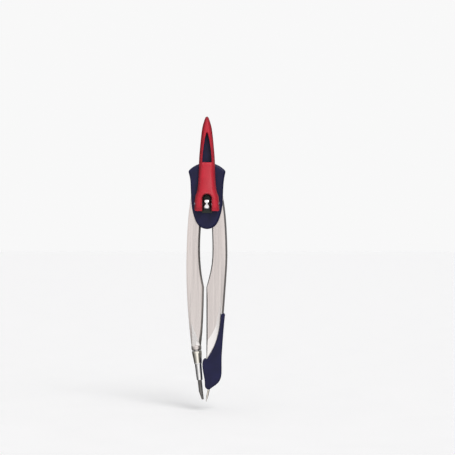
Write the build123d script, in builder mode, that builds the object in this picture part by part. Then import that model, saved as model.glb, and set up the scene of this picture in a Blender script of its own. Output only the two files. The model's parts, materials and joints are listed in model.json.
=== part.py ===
from build123d import *
import os
from math import acos, cos, pi, radians, sin, tan

# School drawing compass with a quick-release lever lock, in millimetres.
# +Z runs up towards the handle, +X to the user's right and the front faces -Y.
# The needle's point is at Z 0 and the head's centre line is X 0.
os.makedirs("parts", exist_ok=True)

# Depths are counted forwards (towards -Y) from the middle plane of the two legs.
legs_middle_y = 3.3
leg_half = 1.8
shell_inner = 2.2
shell_outer = 4.0
gap = 0.05

# The two legs turn on their own pins and mesh at X 0.
teeth_in_circle = 11
gear_module = 0.8
pressure_angle = 25
addendum = 0.64
dedendum = 0.8
tooth_play = 0.08
pitch_radius = gear_module * teeth_in_circle / 2
pivot_z = 103
pivot_pin_radius = 1.2
pivot_pin_half = 3.4
pivot_pin_chamfer = 0.15
washer_radius = 2.7
knuckle_radius = 2.8
leg_top = 98

# Head.
wall_bottom = 108.5
hollow_height = 40
hollow_width = 40
back_edge_radius = 0.8
front_edge_radius = 1.2
crown_radius = 11.7
crown_centre = 103.5
tie_z = 95.3
tie_radius = 1.2
eye_radius = 2.45
eye_half = 1.5
eye_rim_radius = 0.5
cross_pin_radius = 1.0
cross_pin_half = 6.15
cross_pin_chamfer = 0.2
cam_plate_front = 4.5
cam_plate_back = 3.7
cross_pin_forward = 7.6
nut_flats = 4.0
nut_pocket_flats = 4.15
nut_back = -3.9
nut_front = -2.95
nut_pocket_floor = -2.6
spring_radius = 1.95
spring_chamfer = 0.2
boss_radius = 2.3
boss_end = -0.2
screw_x = 6.0
screw_z = 111.2
screw_radius = 0.8
screw_head_radius = 1.5
screw_head_depth = 1.0
screw_head_chamfer = 0.2
screw_cross = 1.7
screw_cross_width = 0.45
screw_cross_depth = 0.6
screw_tip = 3.0

# Lead holder: everything on one axis that leans inwards, counted from the leg's cut end.
holder_x = -5.2
holder_z = 27.15
holder_lean = 5.8
leg_socket_radius = 1.3
leg_socket_depth = 6.0
lead_radius = 1.0
lead_bore_radius = 1.04
collar_radius = 2.45
collar_end = 2.2
nut_start = 2.45
nut_end = 8.35
nut_radius = 2.36
nut_end_radius = 1.8
ring_end = 8.7
ring_radius = 1.9
collet_shoulder = 8.8
collet_end = 16.55
collet_radius = 1.6
collet_end_radius = 1.42
lead_start = 4.0
lead_tip = 26.0
slit_width = 0.25

# Needle foot.
shoe_half = 2.4
tongue_front = 0.6
tongue_back = -1.0
needle_radius = 0.5
needle_length = 15.5
needle_point_length = 3.2
needle_lean = 12
needle_tip_x = -0.5
shoe_screw_x = 3.9
shoe_screw_z = 25.0
shoe_screw_radius = 0.6
shoe_screw_head_radius = 1.2
shoe_screw_head_depth = 0.75
shoe_screw_tip = 1.5
shoe_screw_chamfer = 0.15
shoe_screw_cross = 1.4
shoe_screw_cross_width = 0.35
shoe_screw_cross_depth = 0.45
shoe_edge_radius = 0.7


def layer(forward):
    """The plane that faces forwards at this depth; its own x and y are X and Z."""
    return Plane.XZ.offset(forward - legs_middle_y)


def side_point(forward, z):
    """A point of the side view, drawn on Plane.YZ."""
    return (legs_middle_y - forward, z)


def outline(plane, runs):
    """A closed face: each run is a line or a smooth curve that starts where the one before it ends."""
    with BuildSketch(plane) as face:
        with BuildLine():
            for run in runs:
                if len(run) == 2:
                    Line(*run)
                else:
                    Spline(*run)
        make_face()
    return face.sketch


def mirrored(points):
    """The same points on the other side of the centre line, in the opposite order."""
    return [(-x, z) for x, z in reversed(points)]


def finish(builder, name):
    builder.part.label = name
    export_step(builder.part, "parts/" + name + ".step")


# ---------------------------------------------------------------- head outlines

head_side = [(9.0, 111.1), (7.9, 104.5), (7.62, 98.0), (7.1, 92.6), (6.0, 88.6), (3.9, 84.9), (0, 83.3)]
head_corner_radius = 1.3


def head_outline(plane):
    """Shield-shaped head: a round crown, waisted sides and a round bottom."""
    with BuildSketch(plane) as face:
        with BuildLine():
            left_corner = (-head_side[0][0], head_side[0][1])
            ThreePointArc(left_corner, (0, crown_centre + crown_radius), head_side[0])
            Spline(*head_side, *mirrored(head_side)[1:], tangents=((-0.3, -1), (-0.3, 1)))
        make_face()
        fillet(face.vertices().group_by(Axis.Y)[-1], head_corner_radius)
    return face.sketch


# ---------------------------------------------------------------- toothed sectors

base_radius = pitch_radius * cos(radians(pressure_angle))
root_radius = pitch_radius - dedendum
tip_radius = pitch_radius + addendum
tooth_thickness = gear_module * pi / 2 - tooth_play
tooth_step = 360 / teeth_in_circle


def involute(angle):
    return tan(angle) - angle


def half_angle(radius):
    """Half the angle that a tooth takes up at this radius."""
    at_pitch = tooth_thickness / 2 / pitch_radius + involute(radians(pressure_angle))
    return at_pitch - involute(acos(min(1.0, base_radius / radius)))


def polar(centre_x, radius, angle):
    return (centre_x + radius * cos(angle), pivot_z + radius * sin(angle))


def tooth(plane, centre_x, degrees_round):
    """One involute tooth that points at this angle, from inside the root circle to its tip."""
    middle = radians(degrees_round)
    heights = [base_radius + (tip_radius - base_radius) * step / 3 for step in range(4)]
    rising = [polar(centre_x, r, middle - half_angle(r)) for r in heights]
    falling = [polar(centre_x, r, middle + half_angle(r)) for r in reversed(heights)]
    root = root_radius / 2
    with BuildSketch(plane) as face:
        with BuildLine():
            Spline(*rising)
            ThreePointArc(rising[-1], polar(centre_x, tip_radius, middle), falling[0])
            Spline(*falling)
            Line(falling[-1], polar(centre_x, root, middle + half_angle(base_radius)))
            Line(
                polar(centre_x, root, middle + half_angle(base_radius)),
                polar(centre_x, root, middle - half_angle(base_radius)),
            )
            Line(polar(centre_x, root, middle - half_angle(base_radius)), rising[0])
        make_face()
    return face.sketch


# ---------------------------------------------------------------- legs

# Across its front, a leg has a steep strip, a shallow band, the flat face and another steep strip.
strip_start = 0.6
band_start = 1.35
strip_width = 0.9
lead_inner_strip = 0.95
needle_inner_strip = 0.6
inner_at_band = (band_start - strip_start) / (leg_half - strip_start)
back_bevel = 0.5
back_bevel_depth = 0.5
blade_top = leg_top - 1

# A long flat facet runs down the lead leg's front to its lower end.
facet_top = (-7.75, 38.5)
facet_bottom = (-4.0, 29.4)
facet_tilt = 13
facet_cutter = 60
facet_cutter_depth = 3


def holder_cut_z(x):
    """Height of the lead leg's lower end, which is cut square to the lead holder."""
    return holder_z + (x - holder_x) * tan(radians(holder_lean))


def lead_leg_runs(outer_inset, inner_inset):
    outer = [(-7.9, leg_top), (-8.95, 89.5), (-9.75, 76.0), (-9.95, 64.0), (-9.5, 48.7), (-8.55, 36.4)]
    inner_low = [(-2.1, 36.4), (-1.62, 48.7), (-1.47, 55.4)]
    inner_high = [(-2.64, 61.9), (-3.3, 69.5), (-3.3, 78.5), (-2.85, 86.0), (-2.65, leg_top)]
    outer = [(x + outer_inset, z) for x, z in outer]
    inner_low = [(x - inner_inset, z) for x, z in inner_low]
    inner_high = [(x - inner_inset, z) for x, z in inner_high]
    outer_end = (-7.5 + outer_inset, holder_cut_z(-7.5 + outer_inset))
    inner_end = (-2.9 - inner_inset, holder_cut_z(-2.9 - inner_inset))
    return [
        outer + [outer_end],
        [outer_end, inner_end],
        [inner_end] + inner_low,
        [inner_low[-1]] + inner_high,
        [inner_high[-1], outer[0]],
    ]


def lead_leg_face_runs():
    """Outline of the flat front face, which a long facet cuts off towards the collar."""
    outer = [(-5.9, leg_top), (-6.5, 89.5), (-7.3, 76.0), (-7.65, 64.0), (-8.0, 52.0), (-7.95, 44.0)]
    outer += [facet_top]
    facet = [outer[-1], (-7.0, 34.9), (-5.8, 31.9), facet_bottom]
    inner_low = [(-2.1, 36.4), (-1.62, 48.7), (-1.47, 55.4)]
    inner_high = [(-2.64, 61.9), (-3.3, 69.5), (-3.3, 78.5), (-2.85, 86.0), (-2.65, leg_top)]
    inner_low = [(x - lead_inner_strip, z) for x, z in inner_low]
    inner_high = [(x - lead_inner_strip, z) for x, z in inner_high]
    return [
        outer,
        facet,
        [facet[-1]] + inner_low,
        [inner_low[-1]] + inner_high,
        [inner_high[-1], outer[0]],
    ]


shoe_mouth = [(6.9, 41.9), (5.95, 34.9), (4.0, 28.1), (1.5, 23.2), (-0.15, 20.6)]


def needle_leg_runs(outer_inset, inner_inset):
    """Outline of the needle leg, which the shoe's curved mouth cuts off below."""
    side = [(7.9, leg_top), (8.95, 90.0), (9.6, 79.5), (9.75, 68.4), (9.15, 58.0), (8.5, 48.7), (8.05, 42.85)]
    outer = [(x - outer_inset, z) for x, z in side]
    strip_seat = (shoe_mouth[0][0], 42.8)
    tip = (-0.3 + inner_inset, 21.2)
    kink = (-0.3 + inner_inset, 55.3)
    inner_high = [(0.8, 59.4), (2.1, 65.6), (2.6, 74.5), (2.35, 84.0), (2.65, leg_top)]
    inner_high = [(x + inner_inset, z) for x, z in inner_high]
    return [
        outer,
        [outer[-1], strip_seat],
        [strip_seat, shoe_mouth[0]],
        shoe_mouth,
        [shoe_mouth[-1], tip],
        [tip, kink],
        [kink] + inner_high,
        [inner_high[-1], outer[0]],
    ]


def needle_leg_face_runs():
    """Outline of the flat front face, above the long bevel that runs down to the shoe."""
    outer = [(5.6, leg_top), (6.35, 90.0), (7.0, 79.5), (7.15, 68.4), (6.85, 58.0), (6.5, 51.8), (6.3, 49.2)]
    strip_seat = (6.2, 48.4)
    facet = [(6.1, 47.6), (5.55, 43.6), (5.0, 40.4), (4.1, 36.5), (2.2, 32.6), (0.75, 30.4)]
    tip = (0.3, 30.2)
    kink = (0.3, 55.3)
    inner_high = [(1.4, 59.4), (2.7, 65.6), (3.2, 74.5), (2.95, 84.0), (3.25, leg_top)]
    return [
        outer,
        [outer[-1], strip_seat],
        [strip_seat, facet[0]],
        facet,
        [facet[-1], tip],
        [tip, kink],
        [kink] + inner_high,
        [inner_high[-1], outer[0]],
    ]


def lead_leg_facet():
    """The wedge that the long facet takes off the lead leg's lower end, in front of a tilted plane."""
    run_x = facet_bottom[0] - facet_top[0]
    run_z = facet_bottom[1] - facet_top[1]
    along = Vector(run_x, 0, run_z).normalized()
    outwards = Vector(run_z, 0, -run_x).normalized()
    normal = Vector(0, -cos(radians(facet_tilt)), 0) + outwards * sin(radians(facet_tilt))
    start = (facet_top[0], legs_middle_y - leg_half, facet_top[1])
    with BuildSketch(Plane(origin=start, x_dir=along, z_dir=normal)) as face:
        Rectangle(facet_cutter, facet_cutter)
    return extrude(face.sketch, amount=facet_cutter_depth, mode=Mode.PRIVATE)


def leg_blade(full, band, face, back):
    """The leg below the head: a straight-sided slab with a faceted front and bevelled back edges."""
    slab_back = back_bevel_depth - leg_half
    slab = extrude(outline(layer(slab_back), full), amount=strip_start - slab_back, mode=Mode.PRIVATE)
    band_face = outline(layer(band_start), band)
    strips = loft([outline(layer(strip_start), full), band_face], True, mode=Mode.PRIVATE)
    front = loft([band_face, outline(layer(leg_half), face)], True, mode=Mode.PRIVATE)
    rear = loft([outline(layer(-leg_half), back), outline(layer(slab_back), full)], True, mode=Mode.PRIVATE)
    return slab + strips + front + rear


neck_inner_x = 2.65
neck_outer_x = 7.9
neck_shoulder_x = 7.2
neck_rise = 1.6


def knuckle(pivot_x, tooth_angles):
    """The leg's top: a round knuckle with its toothed sector, and the neck that joins it to the blade."""
    side = -1 if pivot_x < 0 else 1
    first = radians(min(tooth_angles) - tooth_step / 2)
    last = radians(max(tooth_angles) + tooth_step / 2)
    with BuildPart() as top:
        with BuildSketch(layer(-leg_half)):
            with Locations((pivot_x, pivot_z)):
                Circle(knuckle_radius)
            with BuildLine():
                Polyline(
                    (side * neck_inner_x, blade_top),
                    (side * neck_inner_x, leg_top + neck_rise),
                    (pivot_x, pivot_z),
                    (side * neck_shoulder_x, pivot_z),
                    (side * neck_outer_x, leg_top),
                    (side * neck_outer_x, blade_top),
                    close=True,
                )
            make_face()
            with BuildLine():
                start = polar(pivot_x, root_radius, first)
                end = polar(pivot_x, root_radius, last)
                Line((pivot_x, pivot_z), start)
                ThreePointArc(start, polar(pivot_x, root_radius, (first + last) / 2), end)
                Line(end, (pivot_x, pivot_z))
            make_face()
            for angle in tooth_angles:
                add(tooth(Plane.XY, pivot_x, angle))
        extrude(amount=2 * leg_half)
    return top.part


lead_teeth = [k * tooth_step for k in range(-1, 4)]
needle_teeth = [180 + (0.5 - k) * tooth_step for k in range(0, 4)]

# ---------------------------------------------------------------- lead holder axis

holder_origin = (holder_x, legs_middle_y, holder_z)
holder_down = (sin(radians(holder_lean)), 0, -cos(radians(holder_lean)))
holder_across = (cos(radians(holder_lean)), 0, sin(radians(holder_lean)))
holder_section = Plane(origin=holder_origin, x_dir=holder_across, z_dir=(0, 1, 0))
holder_axis = Axis(holder_origin, holder_down)


def turned(points):
    """A solid turned on the holder's axis, from (radius, distance below the leg's end) points."""
    with BuildSketch(holder_section) as face:
        with BuildLine():
            Polyline(*points, close=True)
        make_face()
    return revolve(face.sketch, axis=holder_axis, mode=Mode.PRIVATE)


def holder_plane(distance):
    """The plane square to the holder's axis, facing down it, at this distance from the leg's end."""
    origin = [a + distance * b for a, b in zip(holder_origin, holder_down)]
    return Plane(origin=origin, x_dir=holder_across, z_dir=holder_down)


# ---------------------------------------------------------------- needle axis

needle_up = (sin(radians(needle_lean)), 0, cos(radians(needle_lean)))
needle_tip = (needle_tip_x, legs_middle_y, 0)
needle_across = (cos(radians(needle_lean)), 0, -sin(radians(needle_lean)))
needle_section = Plane(origin=needle_tip, x_dir=needle_across, z_dir=(0, -1, 0))


def needle_solid(point_radius):
    with BuildSketch(needle_section) as face:
        with BuildLine():
            Polyline(
                (0, 0),
                (point_radius, 0),
                (needle_radius, needle_point_length),
                (needle_radius, needle_length),
                (0, needle_length),
                close=True,
            )
        make_face()
    return revolve(face.sketch, axis=Axis(needle_tip, needle_up), mode=Mode.PRIVATE)


needle_point_radius = 0.06
tongue_corners = [(1.2, 26.0), (6.0, 38.5), (6.7, 30.0), (5.9, 19.6), (1.6, 18.6)]


def tongue():
    """The thin end of the needle leg inside the shoe."""
    with BuildSketch(layer(tongue_back)) as face:
        with BuildLine():
            Polyline(*tongue_corners, close=True)
        make_face()
    return extrude(face.sketch, amount=tongue_front - tongue_back, mode=Mode.PRIVATE)


# ================================================================ head

# The handle stem stands behind the lever and tapers to a blunt top.
stem_bottom = 111
stem_top = 134.9
stem_half = 3.15
stem_front = 3.3
stem_back = -3.7
stem_edge_radius = 0.7
stem_top_chamfer = 0.45
stem_play = 0.1
stem_passage_middle = 115
stem_passage_height = 12
stem_outline = [(3.15, stem_bottom), (3.1, 116), (1.1, stem_top)]
stem_profile = [
    side_point(stem_back, stem_bottom),
    side_point(stem_front, stem_bottom),
    side_point(stem_front, 117),
    side_point(3.0, stem_top),
    side_point(-2.3, stem_top),
    side_point(stem_back, 117),
]
with BuildPart() as stem:
    with BuildSketch(layer(-shell_outer)):
        with BuildLine():
            Polyline(*stem_outline, *mirrored(stem_outline), close=True)
        make_face()
    extrude(amount=2 * shell_outer)
    with BuildSketch(Plane.YZ.offset(-stem_half)):
        with BuildLine():
            Polyline(*stem_profile, close=True)
        make_face()
    extrude(amount=2 * stem_half, mode=Mode.INTERSECT)
    upright = stem.edges().filter_by(lambda e: e.bounding_box().size.Z > 3)
    fillet(upright, stem_edge_radius)
    chamfer(stem.faces().sort_by(Axis.Z)[-1].edges(), stem_top_chamfer)

with BuildPart() as head_back_shell:
    add(extrude(head_outline(layer(-shell_outer)), amount=shell_outer - shell_inner, mode=Mode.PRIVATE))
    fillet(head_back_shell.faces().sort_by(Axis.Y)[-1].edges(), back_edge_radius)
    with BuildSketch(layer(-shell_inner)):
        add(head_outline(Plane.XY))
        with Locations((0, wall_bottom - hollow_height / 2)):
            Rectangle(hollow_width, hollow_height, mode=Mode.SUBTRACT)
    extrude(amount=shell_inner)
    with BuildSketch(layer(-shell_inner)):
        with Locations((0, tie_z)):
            Circle(boss_radius)
    extrude(amount=shell_inner + boss_end)
    add(stem.part)
    with BuildSketch(layer(-shell_outer)):
        with Locations((0, tie_z)):
            RegularPolygon(nut_pocket_flats / 2, 6, major_radius=False)
    extrude(amount=shell_outer + nut_pocket_floor, mode=Mode.SUBTRACT)
    with BuildSketch(layer(-shell_outer)):
        with Locations((0, tie_z)):
            Circle(tie_radius + gap)
        with Locations((-screw_x, screw_z), (screw_x, screw_z)):
            Circle(screw_radius + gap)
    extrude(amount=shell_outer, mode=Mode.SUBTRACT)
    with BuildSketch(layer(-shell_outer)):
        with Locations((-screw_x, screw_z), (screw_x, screw_z)):
            Circle(screw_head_radius + gap)
    extrude(amount=screw_head_depth + gap, mode=Mode.SUBTRACT)
    with BuildSketch(layer(-pivot_pin_half)):
        with Locations((-pitch_radius, pivot_z), (pitch_radius, pivot_z)):
            Circle(pivot_pin_radius)
    extrude(amount=pivot_pin_half - shell_inner, mode=Mode.SUBTRACT)
finish(head_back_shell, "head_back_shell")

plate_side = [(2.5, 91.0), (2.5, 92.5), (5.2, 92.5), (5.2, 98.4)]
plate_arch_top = 100.6
plate_corner_radius = 0.4


def cam_plate_outline(plane, play=0.0):
    """Two pads for the lever's cheeks, a tongue below them and an arched top in the lever's slot."""
    with BuildSketch(plane) as face:
        with BuildLine():
            Polyline(*mirrored(plate_side), *plate_side)
            plate_shoulder = plate_side[-1]
            ThreePointArc(plate_shoulder, (0, plate_arch_top), (-plate_shoulder[0], plate_shoulder[1]))
        make_face()
        fillet(face.vertices(), plate_corner_radius)
        if play:
            offset(amount=play)
    return face.sketch


with BuildPart() as head_front_shell:
    add(extrude(head_outline(layer(shell_inner)), amount=shell_outer - shell_inner, mode=Mode.PRIVATE))
    fillet(head_front_shell.faces().sort_by(Axis.Y)[0].edges(), front_edge_radius)
    with BuildSketch(layer(0)):
        add(head_outline(Plane.XY))
        with Locations((0, wall_bottom - hollow_height / 2)):
            Rectangle(hollow_width, hollow_height, mode=Mode.SUBTRACT)
    extrude(amount=shell_inner)
    # The handle stem passes through the crown's middle.
    with BuildSketch(layer(0)):
        with Locations((0, stem_passage_middle)):
            Rectangle(2 * stem_half + 3 * stem_play, stem_passage_height)
    extrude(amount=stem_front + stem_play, mode=Mode.SUBTRACT)
    recess = extrude(cam_plate_outline(layer(cam_plate_back), gap), amount=shell_outer, mode=Mode.PRIVATE)
    add(recess, mode=Mode.SUBTRACT)
    with BuildSketch(layer(0)):
        with Locations((0, tie_z)):
            Circle(tie_radius + gap)
    extrude(amount=shell_outer, mode=Mode.SUBTRACT)
    with BuildSketch(layer(0)):
        with Locations((-screw_x, screw_z), (screw_x, screw_z)):
            Circle(screw_radius)
    extrude(amount=screw_tip + gap, mode=Mode.SUBTRACT)
    with BuildSketch(layer(shell_inner)):
        with Locations((-pitch_radius, pivot_z), (pitch_radius, pivot_z)):
            Circle(pivot_pin_radius)
    extrude(amount=pivot_pin_half - shell_inner, mode=Mode.SUBTRACT)
finish(head_front_shell, "head_front_shell")

with BuildPart() as cam_plate:
    cam_plate_thickness = cam_plate_front - cam_plate_back
    add(extrude(cam_plate_outline(layer(cam_plate_back)), amount=cam_plate_thickness, mode=Mode.PRIVATE))
    with BuildSketch(layer(cam_plate_back)):
        with Locations((0, tie_z)):
            Circle(tie_radius + gap)
    extrude(amount=cam_plate_thickness, mode=Mode.SUBTRACT)
finish(cam_plate, "cam_plate")

with BuildPart() as tie_bolt:
    with BuildSketch(layer(nut_back)):
        with Locations((0, tie_z)):
            Circle(tie_radius)
    extrude(amount=cross_pin_forward - nut_back)
    with BuildSketch(Plane.YZ.offset(-eye_half)):
        with Locations(side_point(cross_pin_forward, tie_z)):
            Circle(eye_radius)
    extrude(amount=2 * eye_half)
    rims = tie_bolt.edges().filter_by(GeomType.CIRCLE).filter_by(lambda e: abs(e.radius - eye_radius) < 0.01)
    fillet(rims, eye_rim_radius)
    with BuildSketch(Plane.YZ.offset(-eye_half)):
        with Locations(side_point(cross_pin_forward, tie_z)):
            Circle(cross_pin_radius + gap)
    extrude(amount=2 * eye_half, mode=Mode.SUBTRACT)
finish(tie_bolt, "tie_bolt")

with BuildPart() as tie_nut:
    with BuildSketch(layer(nut_back)):
        with Locations((0, tie_z)):
            RegularPolygon(nut_flats / 2, 6, major_radius=False)
            Circle(tie_radius, mode=Mode.SUBTRACT)
    extrude(amount=nut_front - nut_back)
finish(tie_nut, "tie_nut")

with BuildPart() as disc_spring:
    with BuildSketch(layer(nut_front)):
        with Locations((0, tie_z)):
            Circle(spring_radius)
            Circle(tie_radius + gap, mode=Mode.SUBTRACT)
    extrude(amount=nut_pocket_floor - nut_front)
    chamfer(disc_spring.faces().sort_by(Axis.Y)[-1].edges().sort_by(SortBy.LENGTH)[-1], spring_chamfer)
finish(disc_spring, "disc_spring")

for side_name, side in (("left", -1), ("right", 1)):
    with BuildPart() as pivot_pin:
        with BuildSketch(layer(-pivot_pin_half)):
            with Locations((side * pitch_radius, pivot_z)):
                Circle(pivot_pin_radius)
        extrude(amount=2 * pivot_pin_half)
        chamfer(pivot_pin.edges(), pivot_pin_chamfer)
    finish(pivot_pin, side_name + "_pivot_pin")

    for place, start in (("front", leg_half + gap), ("back", -shell_inner)):
        with BuildPart() as washer:
            with BuildSketch(layer(start)):
                with Locations((side * pitch_radius, pivot_z)):
                    Circle(washer_radius)
                    Circle(pivot_pin_radius + gap, mode=Mode.SUBTRACT)
            extrude(amount=shell_inner - leg_half - gap)
        finish(washer, side_name + "_" + place + "_washer")

    with BuildPart() as shell_screw:
        with BuildSketch(layer(-shell_outer)):
            with Locations((side * screw_x, screw_z)):
                Circle(screw_head_radius)
        extrude(amount=screw_head_depth)
        chamfer(shell_screw.faces().sort_by(Axis.Y)[-1].edges(), screw_head_chamfer)
        with BuildSketch(layer(-shell_outer + screw_head_depth)):
            with Locations((side * screw_x, screw_z)):
                Circle(screw_radius)
        extrude(amount=shell_outer - screw_head_depth + screw_tip)
        with BuildSketch(layer(-shell_outer)):
            with Locations((side * screw_x, screw_z)):
                Rectangle(screw_cross, screw_cross_width)
                Rectangle(screw_cross_width, screw_cross)
        extrude(amount=screw_cross_depth, mode=Mode.SUBTRACT)
    finish(shell_screw, side_name + "_shell_screw")

# ================================================================ lock lever

lever_waist = (4.4, 103.0)
lever_half = [(0.75, 136.75), (2.0, 132.9), (2.6, 129.4), (3.3, 122.6), (3.8, 115.9), (4.0, 108.5)]
lever_half += [lever_waist]
lever_flare = [lever_waist, (4.85, 101.0), (5.55, 98.9), (5.9, 95.6), (5.93, 92.6)]
lever_bottom = 91.9
lever_foot_half = 5.5
lever_tip = 137.2
lever_depth = 14
lever_widest = 8
slot_half = 1.8
slot_top = 99.4
slot_mouth_half = 2.65
slot_mouth_top = 100.2
slot_floor = 6.8
slot_front = 11
window_half = [(2.3, 115.2), (2.05, 119.3), (1.62, 122.8), (1.05, 126.4), (0.25, 129.3)]
window_top = 129.6

# The cam is a round heel set off the cross pin's axis, so its reach towards the plate
# falls from 3.0 when locked to 2.7 when the lever stands out.
cam_radius = 2.72
cam_centre = (cross_pin_forward - 0.26, tie_z + 0.15)
lever_front = [(10.6, 94.2), (10.6, 97.4), (9.9, 101.8), (8.75, 108.0), (7.7, 115.0), (6.7, 124.0)]
lever_front += [(5.9, 133.5)]
lever_back = [(3.95, 134.5), (4.3, 126.0), (4.9, 116.0), (5.3, 108.0), (5.35, 102.5)]
tip_end = (4.3, 137.5)


def heel_point(degrees_round):
    """A point of the cam's circle in the side view; 0 degrees is forwards and 90 is up."""
    turn = radians(degrees_round)
    return side_point(cam_centre[0] + cam_radius * cos(turn), cam_centre[1] + cam_radius * sin(turn))


def slot_face(forward, half, top):
    """The slot's outline at one depth: straight sides with a round top."""
    below = lever_bottom - 1
    with BuildSketch(layer(forward)) as face:
        with BuildLine():
            Line((half, below), (half, top - half))
            ThreePointArc((half, top - half), (0, top), (-half, top - half))
            Line((-half, top - half), (-half, below))
            Line((-half, below), (half, below))
        make_face()
    return face.sketch


def lever_outline(plane):
    with BuildSketch(plane) as face:
        with BuildLine():
            tip_right = lever_half[0]
            ThreePointArc((-tip_right[0], tip_right[1]), (0, lever_tip), tip_right)
            Spline(*lever_half)
            Spline(*lever_flare)
            Polyline(
                lever_flare[-1],
                (lever_foot_half, lever_bottom),
                (-lever_foot_half, lever_bottom),
                (-lever_flare[-1][0], lever_flare[-1][1]),
            )
            Spline(*mirrored(lever_flare))
            Spline(*mirrored(lever_half))
        make_face()
    return face.sketch


with BuildPart() as lock_lever:
    add(extrude(lever_outline(layer(0)), amount=lever_depth, mode=Mode.PRIVATE))
    with BuildSketch(Plane.YZ.offset(-lever_widest)):
        with BuildLine():
            Spline(*[side_point(*p) for p in lever_front])
            ThreePointArc(side_point(*lever_front[-1]), side_point(5.1, 136.6), side_point(*tip_end))
            ThreePointArc(side_point(*tip_end), side_point(3.95, 136.6), side_point(*lever_back[0]))
            Spline(*[side_point(*p) for p in lever_back])
            Line(side_point(*lever_back[-1]), heel_point(145))
            ThreePointArc(heel_point(145), heel_point(205), heel_point(278))
            Line(heel_point(278), side_point(8.3, lever_bottom))
            Line(side_point(8.3, lever_bottom), side_point(9.5, lever_bottom))
            ThreePointArc(side_point(9.5, lever_bottom), side_point(10.3, 92.5), side_point(*lever_front[0]))
        make_face()
    extrude(amount=2 * lever_widest, mode=Mode.INTERSECT)
    # The slot for the bolt's eye is open below and through the lever's whole depth, and it widens forwards.
    add(extrude(slot_face(0, slot_half, slot_top), amount=lever_depth, mode=Mode.PRIVATE), mode=Mode.SUBTRACT)
    throat = slot_face(slot_floor, slot_half, slot_top)
    mouth = slot_face(slot_front, slot_mouth_half, slot_mouth_top)
    add(loft([throat, mouth], True, mode=Mode.PRIVATE), mode=Mode.SUBTRACT)
    with BuildSketch(layer(0)):
        with BuildLine():
            Spline(*window_half)
            ThreePointArc(window_half[-1], (0, window_top), (-window_half[-1][0], window_half[-1][1]))
            Spline(*mirrored(window_half))
            Line((-window_half[0][0], window_half[0][1]), window_half[0])
        make_face()
    extrude(amount=lever_depth, mode=Mode.SUBTRACT)
    with BuildSketch(Plane.YZ.offset(-lever_widest)):
        with Locations(side_point(cross_pin_forward, tie_z)):
            Circle(cross_pin_radius)
    extrude(amount=2 * lever_widest, mode=Mode.SUBTRACT)
finish(lock_lever, "lock_lever")

with BuildPart() as lever_pin:
    with BuildSketch(Plane.YZ.offset(-cross_pin_half)):
        with Locations(side_point(cross_pin_forward, tie_z)):
            Circle(cross_pin_radius)
    extrude(amount=2 * cross_pin_half)
    chamfer(lever_pin.edges(), cross_pin_chamfer)
finish(lever_pin, "lever_pin")

# ================================================================ lead leg

with BuildPart() as lead_leg:
    add(
        leg_blade(
            lead_leg_runs(0, 0),
            lead_leg_runs(strip_width, lead_inner_strip * inner_at_band),
            lead_leg_face_runs(),
            lead_leg_runs(back_bevel, back_bevel),
        )
    )
    add(lead_leg_facet(), mode=Mode.SUBTRACT)
    add(knuckle(-pitch_radius, lead_teeth))
    with BuildSketch(layer(-leg_half)):
        with Locations((-pitch_radius, pivot_z)):
            Circle(pivot_pin_radius + gap)
    extrude(amount=2 * leg_half, mode=Mode.SUBTRACT)
    with BuildSketch(holder_plane(-leg_socket_depth)):
        Circle(leg_socket_radius)
    extrude(amount=leg_socket_depth + 1, mode=Mode.SUBTRACT)
finish(lead_leg, "lead_leg")

with BuildPart() as leg_collar:
    add(
        turned(
            [
                (leg_socket_radius, 0),
                (collar_radius - 0.15, 0),
                (collar_radius, 0.15),
                (collar_radius, 1.5),
                (collar_radius - 0.35, collar_end),
                (leg_socket_radius, collar_end),
            ]
        )
    )
finish(leg_collar, "leg_collar")

with BuildPart() as lead_collet:
    add(
        turned(
            [
                (lead_bore_radius, -leg_socket_depth),
                (leg_socket_radius, -leg_socket_depth),
                (leg_socket_radius, collet_shoulder),
                (collet_radius, collet_shoulder),
                (collet_radius, collet_shoulder + 0.8),
                (collet_end_radius, collet_end - 0.2),
                (collet_end_radius - 0.08, collet_end),
                (lead_bore_radius, collet_end),
            ]
        )
    )
    with BuildSketch(holder_plane(collet_shoulder + 1)):
        Rectangle(2 * collar_radius, slit_width)
    extrude(amount=collet_end, mode=Mode.SUBTRACT)
finish(lead_collet, "lead_collet")

with BuildPart() as lead_clamp_nut:
    add(
        turned(
            [
                (leg_socket_radius + gap, nut_start),
                (nut_radius - 0.15, nut_start),
                (nut_radius, nut_start + 0.2),
                (nut_radius, nut_start + 1.15),
                (nut_end_radius, nut_end),
                (leg_socket_radius + gap, nut_end),
            ]
        )
    )
finish(lead_clamp_nut, "lead_clamp_nut")

with BuildPart() as clamp_ring:
    add(
        turned(
            [
                (leg_socket_radius + gap, nut_end),
                (ring_radius - 0.08, nut_end),
                (ring_radius, nut_end + 0.1),
                (ring_radius - 0.08, ring_end),
                (leg_socket_radius + gap, ring_end),
            ]
        )
    )
finish(clamp_ring, "clamp_ring")

# The lead's outer side is sanded to a chisel.
chisel_cut = [(-4.1, 5.6), (-2.15, 0.2), (-5.0, 0.2)]
with BuildPart() as lead:
    add(turned([(0, lead_start), (lead_radius, lead_start), (lead_radius, lead_tip), (0, lead_tip)]))
    with BuildSketch(layer(-2 * lead_radius)):
        with BuildLine():
            Polyline(*chisel_cut, close=True)
        make_face()
    extrude(amount=4 * lead_radius, mode=Mode.SUBTRACT)
finish(lead, "lead")

# ================================================================ needle leg

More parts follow.
